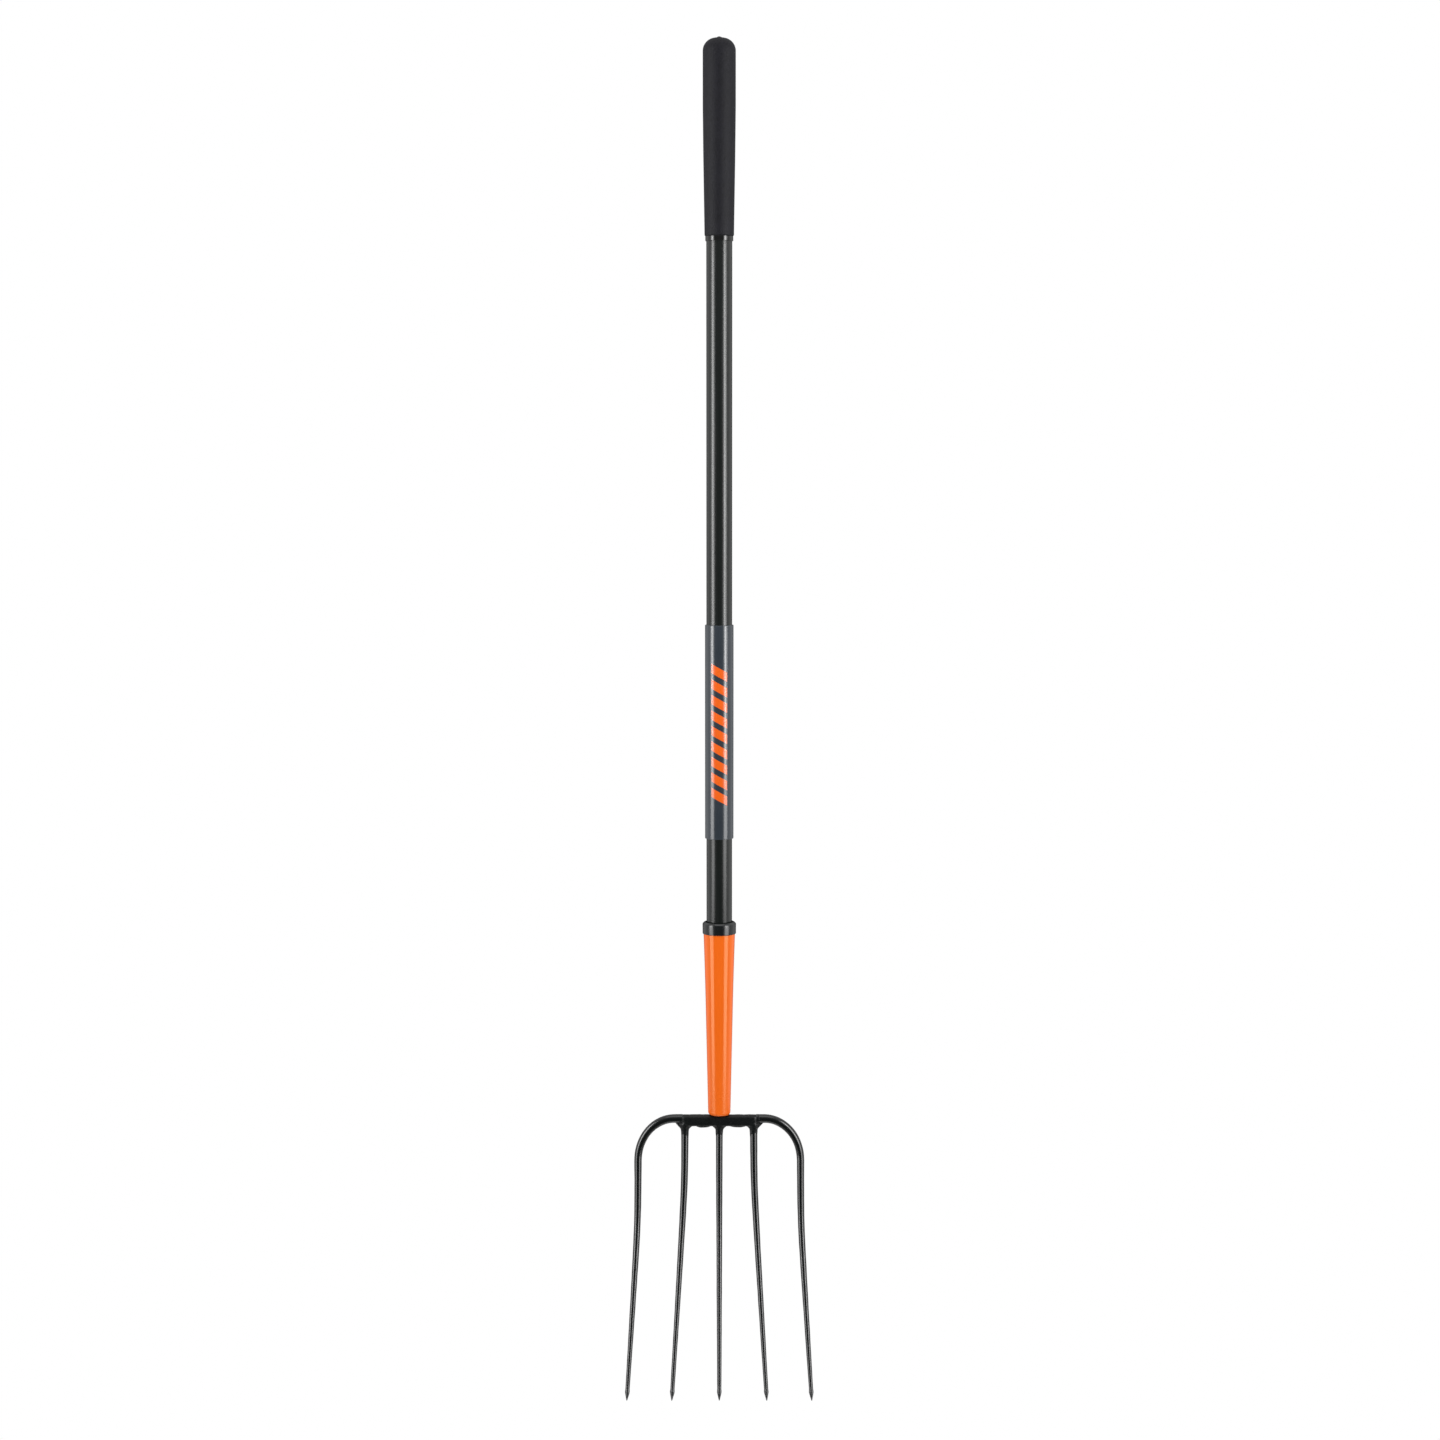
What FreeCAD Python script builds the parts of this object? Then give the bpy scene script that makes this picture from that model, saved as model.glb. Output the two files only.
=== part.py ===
import FreeCAD, Part
import math
import os
import re

import PartDesign
import Sketcher
from FreeCAD import Placement, Rotation, Vector

# Five-tine fork with a long straight handle.  Millimetres, +Z up the handle, the tines point down
# and lean towards -Y, which is the front.  The origin is the middle of the crossbar, on the handle's axis.

doc = FreeCAD.newDocument("DiggingFork")

# ---------------------------------------------------------------------------------------------
# Driving dimensions
# ---------------------------------------------------------------------------------------------

SIZES = {
    # forged head: the shoulder is the middle of the crossbar, the tines hang from it
    "shoulder_half_width": (44.5, "axis to the weld where an outer tine starts"),
    "shoulder_top": (6.5, "top face above the crossbar's middle"),
    "shoulder_thickness": (12.0, "front to back"),
    "shoulder_under": (6.0, "underside between two tines, below the middle"),
    "weld_under": (2.6, "underside at the weld, below the middle"),
    "lug_depth": (11.0, "bottom of the lugs that the inner tines grow from"),
    "belly_radius": (44.0, "slack belly of the underside between two lugs"),
    "lug_sweep": (7.0, "hollow radius where the underside sweeps into a lug"),
    "shoulder_round": (2.5, "rounded long edges"),
    # tines
    "inner_tine_across": (38.6, "axis to an inner tine at its lug"),
    "inner_splay_start": (70.0, "depth where an inner tine starts to splay"),
    "outer_splay_start": (115.0, "depth where an outer tine starts to splay"),
    "splay_slope": (0.062, "sideways travel per unit of depth"),
    "lean_start": (100.0, "depth where the tines bend forwards"),
    "lean_slope": (0.306, "forward travel per unit of depth, 17 degrees"),
    "bend_soft": (34.0, "length over which each bend is spread"),
    "shank_depth": (290.5, "depth where the drawn shank ends and the point starts"),
    "point_length": (12.5, "spear point"),
    "side_tine_radius": (4.05, "four outer tines, at the top"),
    "centre_tine_radius": (3.75, "centre tine, at the top"),
    "tine_end_radius": (2.25, "where the shank ends"),
    "spear_radius": (2.5, "widest part of the spear point"),
    "point_radius": (0.35, "blunted tip"),
    "arm_radius": (4.75, "outer tine where it leaves the weld"),
    "arm_height": (2.25, "outer tine's centre line at the weld, above the middle"),
    "arm_straight": (6.0, "straight stretch before the shoulder bend"),
    "arm_reach": (40.9, "shoulder bend, sideways"),
    "arm_drop": (47.25, "shoulder bend, downwards"),
    # tang and its bedding
    "tang_base_radius": (5.4, "tang where it leaves the shoulder"),
    "tang_end_radius": (3.0, "tang's upper end"),
    "tang_length": (135.0, "above the shoulder"),
    "bedding_thickness": (0.6, "resin between tang and core"),
    # ferrule
    "ferrule_start": (6.8, "bottom face above the crossbar's middle"),
    "ferrule_length": (211.2, "overall"),
    "ferrule_base_radius": (12.45, "outside, bottom"),
    "ferrule_mouth_radius": (17.1, "outside, top"),
    "ferrule_wall": (1.5, "sheet thickness"),
    "ferrule_hole": (6.6, "hole for the tang"),
    "ferrule_nose": (3.6, "rounded bottom edge"),
    "pin_height": (103.0, "retaining pin above the ferrule's bottom"),
    "pin_radius": (2.4, "retaining pin shank"),
    "pin_head_radius": (4.0, "retaining pin head"),
    "pin_head_rise": (1.3, "head above the ferrule"),
    # handle
    "tube_start": (160.0, "lower end of the handle tube"),
    "tube_length": (1016.0, "overall"),
    "tube_radius": (14.25, "outside"),
    "tube_wall": (3.5, "pultruded wall"),
    "core_gap": (0.05, "fit between core, ferrule and tube"),
    "spigot_length": (172.0, "core inside the tube"),
    # collar
    "collar_start": (180.0, "lower end of the bush"),
    "collar_skirt": (213.0, "lower edge of the visible ring"),
    "collar_top": (226.3, "upper edge of the visible ring"),
    "collar_radius": (18.75, "outside of the ring"),
    "collar_lip": (1.5, "chamfer round the top"),
    "collar_recess": (1.35, "gap between ring and tube at the top"),
    "collar_recess_depth": (6.0, "depth of that gap"),
    # sleeve, grip and end pieces
    "sleeve_start": (320.3, "lower end of the printed sleeve"),
    "sleeve_length": (238.0, "overall"),
    "sleeve_radius": (15.8, "outside"),
    "skin_gap": (0.03, "fit of sleeve, ring and grip on the tube"),
    "ring_start": (978.3, "lower end of the grip ring"),
    "ring_length": (5.4, "overall"),
    "ring_radius": (15.3, "outside"),
    "grip_start": (983.7, "lower end of the grip"),
    "grip_length": (212.8, "overall, without the moulding nub"),
    "grip_taper": (140.0, "tapered length, below the cylindrical end"),
    "grip_mouth_radius": (16.1, "outside, bottom"),
    "grip_radius": (18.0, "outside, cylindrical end"),
    "grip_dome": (13.4, "rounded closed end"),
    "grip_bore": (197.0, "depth of the bore"),
    "nub_radius": (2.7, "moulding nub"),
    "nub_height": (1.5, "moulding nub"),
    "plug_cap": (3.0, "plug's cap thickness"),
    "plug_spigot": (25.0, "plug inside the tube"),
}

sheet = doc.addObject("Spreadsheet::Sheet", "Sizes")
for row, (alias, (number, note)) in enumerate(SIZES.items(), start=1):
    sheet.set(f"A{row}", note)
    sheet.set(f"B{row}", str(number))
    sheet.setAlias(f"B{row}", alias)
doc.recompute()

ALIAS = re.compile(r"\b(" + "|".join(SIZES) + r")\b")


# ---------------------------------------------------------------------------------------------
# Helpers
# ---------------------------------------------------------------------------------------------

def formula(text):
    """Put the sheet's name in front of every alias in an expression."""
    return ALIAS.sub(r"Sizes.\1", text)


def value(text):
    """Present value of an expression on the sheet, as a plain number."""
    result = sheet.evalExpression(formula(text))
    return float(getattr(result, "Value", result))


def new_body(name, start=None):
    """Make a body, named after its sub-part, that stands at a height given by an expression."""
    body = doc.addObject("PartDesign::Body", name)
    body.Label = name
    if start:
        body.setExpression("Placement.Base.z", formula(start))
    return body


def new_sketch(body, name, plane):
    """Attach an empty sketch to one of the body's own origin planes."""
    sketch = body.newObject("Sketcher::SketchObject", name)
    datum = next(feature for feature in body.Origin.OriginFeatures if feature.Role == plane)
    sketch.AttachmentSupport = [(datum, "")]
    sketch.MapMode = "FlatFace"
    return sketch


def bind_corner(sketch, edge, end, corner):
    """Tie one end (1 start, 2 finish) of an edge to the sheet, across and up from the origin."""
    for kind, text, axis in (("DistanceX", corner[0], -2), ("DistanceY", corner[1], -1)):
        distance = value(text)
        if abs(distance) < 1e-9:
            sketch.addConstraint(Sketcher.Constraint("PointOnObject", edge, end, axis))
        elif distance > 0:
            index = sketch.addConstraint(Sketcher.Constraint(kind, -1, 1, edge, end, distance))
            sketch.setExpression(f"Constraints[{index}]", formula(text))
        else:
            index = sketch.addConstraint(Sketcher.Constraint(kind, edge, end, -1, 1, -distance))
            sketch.setExpression(f"Constraints[{index}]", formula(f"-({text})"))


def bent_edge(start, end, radius, bulge):
    """Arc between two points; bulge is +1 to the left of the way from start to end, -1 to the right."""
    chord = end - start
    left = Vector(-chord.y, chord.x, 0).normalize()
    rise = radius - math.sqrt(radius ** 2 - (chord.Length / 2) ** 2)
    crown = start + chord / 2 + left * (rise * bulge)
    # sketch arcs run anticlockwise, so an arc that bulges to the left is drawn from its far end
    return Part.Arc(end, crown, start) if bulge > 0 else Part.Arc(start, crown, end)


def draw_outline(sketch, corners, arcs=None):
    """Draw a closed outline through corners; arcs maps an edge's index to (radius, bulge)."""
    arcs = arcs or {}
    points = [Vector(value(across), value(up), 0) for across, up in corners]
    count = len(points)
    for index, start in enumerate(points):
        end = points[(index + 1) % count]
        if index in arcs:
            radius, bulge = arcs[index]
            sketch.addGeometry(bent_edge(start, end, value(radius), bulge), False)
        else:
            sketch.addGeometry(Part.LineSegment(start, end), False)
    reversed_edges = {index for index, (radius, bulge) in arcs.items() if bulge > 0}
    first_end = [2 if index in reversed_edges else 1 for index in range(count)]
    for index, corner in enumerate(corners):
        following = (index + 1) % count
        sketch.addConstraint(Sketcher.Constraint(
            "Coincident", index, 3 - first_end[index], following, first_end[following]))
        bind_corner(sketch, index, first_end[index], corner)
    for index, (radius, bulge) in arcs.items():
        number = sketch.addConstraint(Sketcher.Constraint("Radius", index, value(radius)))
        sketch.setExpression(f"Constraints[{number}]", formula(radius))


def turned(body, name, corners):
    """Revolve an outline of (radius, height) corners about the body's Z axis."""
    sketch = new_sketch(body, name + "_outline", "XZ_Plane")
    draw_outline(sketch, corners)
    turning = body.newObject("PartDesign::Revolution", name)
    turning.Profile = sketch
    turning.ReferenceAxis = (sketch, ["V_Axis"])
    turning.Angle = 360
    doc.recompute()
    return turning


def rim_edges(feature, radius, height):
    """Names of the circular edges of a turned feature at one radius and height."""
    names = []
    for number, edge in enumerate(feature.Shape.Edges, start=1):
        curve = edge.Curve
        if not isinstance(curve, Part.Circle):
            continue
        if abs(curve.Radius - radius) < 1e-3 and abs(curve.Center.z - height) < 1e-3:
            names.append(f"Edge{number}")
    return names


def soften(body, name, kind, base, edges, size_name):
    """Add a PartDesign Fillet or Chamfer to named edges, sized from the sheet."""
    feature = body.newObject("PartDesign::" + kind, name)
    feature.Base = (base, edges)
    prop = "Radius" if kind == "Fillet" else "Size"
    feature.setExpression(prop, formula(size_name))
    doc.recompute()
    return feature


def round_section(body, name, centre, tilt, radius):
    """Circle sketch at a point of a rod's centre line; tilt turns its plane about Y, in degrees."""
    sketch = new_sketch(body, name, "XY_Plane")
    start = Vector(*(value(text) for text in centre))
    sketch.AttachmentOffset = Placement(start, Rotation(Vector(0, 1, 0), tilt))
    for axis, text in zip("xyz", centre):
        sketch.setExpression(f"AttachmentOffset.Base.{axis}", formula(text))
    sketch.addGeometry(Part.Circle(Vector(0, 0, 0), Vector(0, 0, 1), value(radius)), False)
    sketch.addConstraint(Sketcher.Constraint("Coincident", 0, 3, -1, 1))
    index = sketch.addConstraint(Sketcher.Constraint("Radius", 0, value(radius)))
    sketch.setExpression(f"Constraints[{index}]", formula(radius))
    return sketch


def lofted(body, name, sections, ruled=False):
    """Loft a solid through circle sketches, smoothly or with straight sides."""
    loft = body.newObject("PartDesign::AdditiveLoft", name)
    loft.Profile = sections[0]
    loft.Sections = sections[1:]
    loft.Ruled = ruled
    doc.recompute()
    return loft


def swing(slope, start, depth):
    """Expression for travel away from a straight line that begins softly at the start depth."""
    return (f"{slope} / 2 * ({depth} - {start} + sqrt(({depth} - {start})^2 + bend_soft^2)"
            f" + {start} - sqrt({start}^2 + bend_soft^2))")


# ---------------------------------------------------------------------------------------------
# Forged head
# ---------------------------------------------------------------------------------------------

SHANK_STEPS = 11
TAPER_POWER = 1.15
ARM_ANGLES = (0, 15, 30, 45, 60, 75)


def make_shoulder():
    """Middle of the crossbar: flat top, bellied underside and three lugs for the inner tines."""
    body = new_body("head_shoulder")
    sketch = new_sketch(body, "shoulder_outline", "XZ_Plane")
    half = [
        ("shoulder_half_width", "shoulder_top"),
        ("shoulder_half_width", "-weld_under"),
        ("inner_tine_across + side_tine_radius", "-lug_depth"),
        ("inner_tine_across - side_tine_radius", "-lug_depth"),
        ("inner_tine_across - side_tine_radius - 4", "-shoulder_under"),
        ("centre_tine_radius + 3.5", "-shoulder_under"),
        ("centre_tine_radius", "-lug_depth"),
    ]
    mirrored = [(f"-({across})", up) for across, up in reversed(half)]
    edges = len(half)
    sweep = ("lug_sweep", -1)
    belly = ("belly_radius", 1)
    arcs = {1: sweep, 3: sweep, 4: belly, 5: sweep,
            edges: sweep, edges + 1: belly, edges + 2: sweep, edges + 4: sweep}
    draw_outline(sketch, half + mirrored, arcs)
    pad = body.newObject("PartDesign::Pad", "shoulder_pad")
    pad.Profile = sketch
    pad.SideType = "Symmetric"
    pad.setExpression("Length", formula("shoulder_thickness"))
    doc.recompute()
    top = value("shoulder_top")
    half_thick = value("shoulder_thickness") / 2
    long_edges = [f"Edge{number}" for number, edge in enumerate(pad.Shape.Edges, start=1)
                  if all(abs(point.Point.z - top) < 1e-3 for point in edge.Vertexes)
                  and all(abs(abs(point.Point.y) - half_thick) < 1e-3 for point in edge.Vertexes)
                  and edge.Length > half_thick * 3]
    soften(body, "shoulder_round_edges", "Fillet", pad, long_edges, "shoulder_round")
    return body


def add_shank_and_point(body, side, across, splay_start, start_depth, root_radius, lead_sections):
    """Loft a tapered shank that splays and leans forwards, then its spear point."""

    def place(depth):
        """Centre-line point, as expressions, at a depth below the crossbar's middle."""
        sideways = f"{side} * ({across} + {swing('splay_slope', splay_start, depth)})" if side else "0 * lug_depth"
        return (sideways, "-(" + swing("lean_slope", "lean_start", depth) + ")", f"-({depth})")

    sections = list(lead_sections)
    for step in range(SHANK_STEPS + 1):
        fraction = step / SHANK_STEPS
        depth = f"({start_depth} + (shank_depth - {start_depth}) * {fraction:.4f})"
        radius = f"{root_radius} - ({root_radius} - tine_end_radius) * {fraction ** TAPER_POWER:.4f}"
        sections.append(round_section(body, f"{body.Name}_section_{step}", place(depth), 0, radius))
    lofted(body, body.Name + "_shank", sections)
    spear = [sections[-1]]
    for number, (fraction, radius) in enumerate(((0.25, "spear_radius"), (1.0, "point_radius"))):
        depth = f"(shank_depth + point_length * {fraction})"
        spear.append(round_section(body, f"{body.Name}_spear_{number}", place(depth), 0, radius))
    lofted(body, body.Name + "_point", spear, ruled=True)


def make_straight_tine(name, side):
    """Inner or centre tine: hangs from its lug."""
    body = new_body(name)
    root = "side_tine_radius" if side else "centre_tine_radius"
    add_shank_and_point(body, side, "inner_tine_across", "inner_splay_start", "lug_depth", root, [])
    return body


def make_outer_tine(name, side):
    """Outer tine: leaves the weld sideways and bends down through a quarter of an ellipse."""
    body = new_body(name)
    turn = "shoulder_half_width + arm_straight"
    lead = [round_section(body, name + "_weld", (f"{side} * shoulder_half_width", "0 * arm_height", "arm_height"),
                          -90 * side, "arm_radius")]
    for angle in ARM_ANGLES:
        cosine = math.cos(math.radians(angle))
        sine = math.sin(math.radians(angle))
        slope = math.degrees(math.atan2(value("arm_drop") * sine, value("arm_reach") * cosine))
        centre = (f"{side} * ({turn} + arm_reach * {sine:.5f})",
                  "0 * arm_height",
                  f"arm_height - arm_drop * {1 - cosine:.5f}")
        radius = f"arm_radius - (arm_radius - side_tine_radius) * {angle / 90:.4f}"
        lead.append(round_section(body, f"{name}_bend_{angle}", centre, -side * (90 - slope), radius))
    across = f"({turn} + arm_reach)"
    add_shank_and_point(body, side, across, "outer_splay_start", "(arm_drop - arm_height)",
                        "side_tine_radius", lead)
    return body


def make_tang():
    """Tapered tang that stands on the shoulder inside the ferrule."""
    body = new_body("head_tang", "shoulder_top")
    turned(body, "tang_turning", [
        ("0", "0"),
        ("tang_base_radius", "0"),
        ("tang_end_radius", "tang_length"),
        ("0", "tang_length"),
    ])
    return body


# ---------------------------------------------------------------------------------------------
# Ferrule, core and collar
# ---------------------------------------------------------------------------------------------

def ferrule_outside(height):
    """Expression for the ferrule's outside radius at a height above its bottom."""
    return f"(ferrule_base_radius + (ferrule_mouth_radius - ferrule_base_radius) * ({height}) / ferrule_length)"


def drill_pin_hole(body, name, base, start):
    """Hole from the back for the retaining pin, in a body whose own frame stands at the start height."""
    sketch = new_sketch(body, name + "_circle", "XZ_Plane")
    height = f"ferrule_start + pin_height - ({start})"
    sketch.addGeometry(Part.Circle(Vector(0, value(height), 0), Vector(0, 0, 1), value("pin_radius")), False)
    sketch.addConstraint(Sketcher.Constraint("PointOnObject", 0, 3, -2))
    up = sketch.addConstraint(Sketcher.Constraint("DistanceY", -1, 1, 0, 3, value(height)))
    sketch.setExpression(f"Constraints[{up}]", formula(height))
    ring = sketch.addConstraint(Sketcher.Constraint("Radius", 0, value("pin_radius")))
    sketch.setExpression(f"Constraints[{ring}]", formula("pin_radius"))
    pocket = body.newObject("PartDesign::Pocket", name)
    pocket.Profile = sketch
    pocket.setExpression("Length", formula("ferrule_mouth_radius"))
    doc.recompute()
    # the cut must take material away, and from the back half only
    removed = base.Shape.cut(pocket.Shape)
    if removed.Volume < 1 or removed.BoundBox.YMin < 0:
        raise RuntimeError(f"{name} does not open at the back")


def make_ferrule():
    """Long tapered steel socket with a rounded bottom and a hole for the tang."""
    start = "ferrule_start"
    body = new_body("ferrule", start)
    shell = turned(body, "ferrule_turning", [
        ("ferrule_hole", "0"),
        ("ferrule_base_radius", "0"),
        ("ferrule_mouth_radius", "ferrule_length"),
        ("ferrule_mouth_radius - ferrule_wall", "ferrule_length"),
        (ferrule_outside("ferrule_nose") + " - ferrule_wall", "ferrule_nose"),
        ("ferrule_base_radius - ferrule_nose", "ferrule_wall"),
        ("ferrule_hole", "ferrule_wall"),
    ])
    nose = soften(body, "ferrule_rounding", "Fillet", shell,
                  rim_edges(shell, value("ferrule_base_radius"), 0), "ferrule_nose")
    drill_pin_hole(body, "ferrule_pin_hole", nose, start)
    return body


def make_bedding():
    """Resin cone between the tang and the core."""
    body = new_body("tang_bedding", "ferrule_start + ferrule_wall + 0.1")
    lost = "(ferrule_start + ferrule_wall + 0.1 - shoulder_top)"
    taper = "((tang_base_radius - tang_end_radius) / tang_length)"
    low = f"(tang_base_radius - {taper} * {lost})"
    depth = f"(tang_length - {lost})"
    turned(body, "bedding_turning", [
        (f"{low} + 0.02", "0"),
        (f"{low} + bedding_thickness", "0"),
        ("tang_end_radius + bedding_thickness", depth),
        ("tang_end_radius + 0.02", depth),
    ])
    return body


def make_core():
    """Wooden core: fills the ferrule below the tube and runs up inside the tube."""
    start = "ferrule_start + ferrule_nose + 0.2"
    body = new_body("handle_core", start)
    low = "(ferrule_nose + 0.2)"
    waist = "(tube_start - ferrule_start - ferrule_nose - 0.3)"
    top = f"({waist} + spigot_length)"
    inside = "- ferrule_wall - core_gap"
    bore_top = "(tang_length + shoulder_top - ferrule_start - ferrule_nose - 0.1)"
    core = turned(body, "core_turning", [
        ("tang_base_radius + bedding_thickness + 0.05", "0"),
        (f"{ferrule_outside(low)} {inside}", "0"),
        (f"{ferrule_outside(waist + ' + ' + low)} {inside}", waist),
        ("tube_radius - tube_wall - core_gap", waist),
        ("tube_radius - tube_wall - core_gap", top),
        ("0", top),
        ("0", bore_top),
        ("tang_end_radius + bedding_thickness + 0.05", bore_top),
    ])
    drill_pin_hole(body, "core_pin_hole", core, start)
    return body


def make_pin():
    """Headed pin, pushed in from the back, that locks ferrule, core and bedding together."""
    body = new_body("retaining_pin")
    surface = ferrule_outside("pin_height")
    tip = "(tang_base_radius + bedding_thickness + 0.4)"
    turning = turned(body, "pin_turning", [
        ("0", "0"),
        ("pin_radius - core_gap", "0"),
        ("pin_radius - core_gap", f"{surface} + 0.15 - {tip}"),
        ("pin_head_radius", f"{surface} + 0.15 - {tip}"),
        ("pin_head_radius", f"{surface} + pin_head_rise - {tip}"),
        ("0", f"{surface} + pin_head_rise - {tip}"),
    ])
    top = value(f"{surface} + pin_head_rise - {tip}")
    soften(body, "pin_dome", "Fillet", turning, rim_edges(turning, value("pin_head_radius"), top),
           "pin_head_rise / 2")
    body.Placement = Placement(Vector(0, 0, 0), Rotation(Vector(1, 0, 0), -90))
    body.setExpression("Placement.Base.y", formula(tip))
    body.setExpression("Placement.Base.z", formula("ferrule_start + pin_height"))
    return body


def make_collar():
    """Moulded collar: a bush between tube and ferrule under a ring that caps the ferrule's mouth."""
    body = new_body("ferrule_collar", "collar_start")
    skirt = "(collar_skirt - collar_start)"
    seat = "(ferrule_start + ferrule_length - collar_start + 0.05)"
    top = "(collar_top - collar_start)"
    bush_low = ferrule_outside("collar_start - ferrule_start") + " - ferrule_wall - core_gap"
    ring = turned(body, "collar_turning", [
        ("tube_radius + skin_gap", "0"),
        (bush_low, "0"),
        ("ferrule_mouth_radius - ferrule_wall - core_gap", seat),
        ("ferrule_mouth_radius + core_gap", seat),
        ("ferrule_mouth_radius + core_gap", skirt),
        ("collar_radius", skirt),
        ("collar_radius", top),
        ("tube_radius + collar_recess", top),
        ("tube_radius + collar_recess", f"{top} - collar_recess_depth"),
        ("tube_radius + skin_gap", f"{top} - collar_recess_depth"),
    ])
    soften(body, "collar_top_edge", "Chamfer", ring,
           rim_edges(ring, value("collar_radius"), value(top)), "collar_lip")
    return body


# ---------------------------------------------------------------------------------------------
# Handle
# ---------------------------------------------------------------------------------------------

def make_sleeve_shape(name, start, length, inside, outside):
    """Plain round sleeve, such as the handle tube, the printed sleeve and the grip ring."""
    body = new_body(name, start)
    turned(body, name + "_turning", [
        (inside, "0"),
        (outside, "0"),
        (outside, length),
        (inside, length),
    ])
    return body


def make_plug():
    """Plug that closes the tube's upper end under the grip."""
    body = new_body("tube_end_plug", "tube_start + tube_length - plug_spigot")
    turned(body, "plug_turning", [
        ("0", "0"),
        ("tube_radius - tube_wall - core_gap", "0"),
        ("tube_radius - tube_wall - core_gap", "plug_spigot + 0.02"),
        ("tube_radius", "plug_spigot + 0.02"),
        ("tube_radius", "plug_spigot + plug_cap"),
        ("0", "plug_spigot + plug_cap"),
    ])
    return body


def make_grip():
    """Foam grip: tapered sleeve with a cylindrical, domed and closed end and a moulding nub."""
    body = new_body("grip", "grip_start")
    sleeve = turned(body, "grip_turning", [
        ("tube_radius + skin_gap", "0"),
        ("grip_mouth_radius", "0"),
        ("grip_radius", "grip_taper"),
        ("grip_radius", "grip_length"),
        ("0", "grip_length"),
        ("0", "grip_bore"),
        ("tube_radius + skin_gap", "grip_bore"),
    ])
    dome = soften(body, "grip_dome_rounding", "Fillet", sleeve,
                  rim_edges(sleeve, value("grip_radius"), value("grip_length")), "grip_dome")
    sketch = new_sketch(body, "nub_circle", "XY_Plane")
    sketch.setExpression("AttachmentOffset.Base.z", formula("grip_length - 1"))
    sketch.addGeometry(Part.Circle(Vector(0, 0, 0), Vector(0, 0, 1), value("nub_radius")), False)
    sketch.addConstraint(Sketcher.Constraint("Coincident", 0, 3, -1, 1))
    ring = sketch.addConstraint(Sketcher.Constraint("Radius", 0, value("nub_radius")))
    sketch.setExpression(f"Constraints[{ring}]", formula("nub_radius"))
    before = dome.Shape.Volume
    nub = body.newObject("PartDesign::Pad", "nub")
    nub.Profile = sketch
    nub.setExpression("Length", formula("nub_height + 1"))
    doc.recompute()
    if nub.Shape.Volume <= before:
        raise RuntimeError("the nub adds nothing")
    return body


# ---------------------------------------------------------------------------------------------
# Build, check and write
# ---------------------------------------------------------------------------------------------

bodies = [
    make_shoulder(),
    make_outer_tine("tine_outer_left", -1),
    make_straight_tine("tine_inner_left", -1),
    make_straight_tine("tine_centre", 0),
    make_straight_tine("tine_inner_right", 1),
    make_outer_tine("tine_outer_right", 1),
    make_tang(),
    make_bedding(),
    make_ferrule(),
    make_core(),
    make_pin(),
    make_collar(),
    make_sleeve_shape("handle_tube", "tube_start", "tube_length", "tube_radius - tube_wall", "tube_radius"),
    make_sleeve_shape("printed_sleeve", "sleeve_start", "sleeve_length", "tube_radius + skin_gap",
                      "sleeve_radius"),
    make_sleeve_shape("grip_ring", "ring_start", "ring_length", "tube_radius + skin_gap", "ring_radius"),
    make_grip(),
    make_plug(),
]
doc.recompute()

for item in doc.Objects:
    if "Invalid" in item.State or "Error" in item.State:
        raise RuntimeError(f"{item.Label} did not compute: {item.State}")
for body in bodies:
    if body.Shape.isNull() or not body.Shape.isValid() or len(body.Shape.Solids) != 1:
        raise RuntimeError(f"{body.Label} has no sound solid")

os.makedirs("parts", exist_ok=True)
for body in bodies:
    body.Shape.exportStep(f"parts/{body.Label}.step")
    box = body.Shape.BoundBox
    print(f"{body.Label}: volume {body.Shape.Volume:.0f} mm3, z {box.ZMin:.1f} to {box.ZMax:.1f},"
          f" x {box.XMin:.1f} to {box.XMax:.1f}, y {box.YMin:.1f} to {box.YMax:.1f}")
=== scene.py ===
"""Looks of a five-tine digging fork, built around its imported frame."""
import logging
import math
from dataclasses import dataclass, field
from enum import Enum

import bmesh
import bpy
from mathutils import Matrix, Vector, noise


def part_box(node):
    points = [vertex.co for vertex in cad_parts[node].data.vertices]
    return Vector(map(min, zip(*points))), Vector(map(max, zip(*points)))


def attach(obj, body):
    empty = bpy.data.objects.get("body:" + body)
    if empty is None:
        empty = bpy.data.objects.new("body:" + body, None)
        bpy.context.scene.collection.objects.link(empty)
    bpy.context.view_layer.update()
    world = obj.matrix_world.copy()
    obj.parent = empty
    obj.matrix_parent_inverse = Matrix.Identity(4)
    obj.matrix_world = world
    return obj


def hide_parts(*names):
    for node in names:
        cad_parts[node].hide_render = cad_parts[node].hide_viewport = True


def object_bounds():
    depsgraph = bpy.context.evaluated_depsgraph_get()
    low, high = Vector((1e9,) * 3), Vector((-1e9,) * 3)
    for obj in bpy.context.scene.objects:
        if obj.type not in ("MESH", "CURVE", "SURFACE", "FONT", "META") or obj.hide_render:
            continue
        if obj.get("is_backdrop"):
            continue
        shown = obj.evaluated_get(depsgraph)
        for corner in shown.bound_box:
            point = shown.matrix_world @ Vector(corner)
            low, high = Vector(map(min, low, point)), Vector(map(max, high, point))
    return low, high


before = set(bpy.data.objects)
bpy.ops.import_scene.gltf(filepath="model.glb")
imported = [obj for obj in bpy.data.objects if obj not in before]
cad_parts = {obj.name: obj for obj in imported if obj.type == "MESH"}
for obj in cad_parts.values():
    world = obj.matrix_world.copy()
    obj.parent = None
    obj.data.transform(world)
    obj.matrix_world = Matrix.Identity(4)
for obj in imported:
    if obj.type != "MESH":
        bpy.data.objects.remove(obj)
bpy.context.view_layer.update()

LOG = logging.getLogger("digging_fork")
MM = 0.001
NOISE_ROUGHNESS = 0.55

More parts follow.
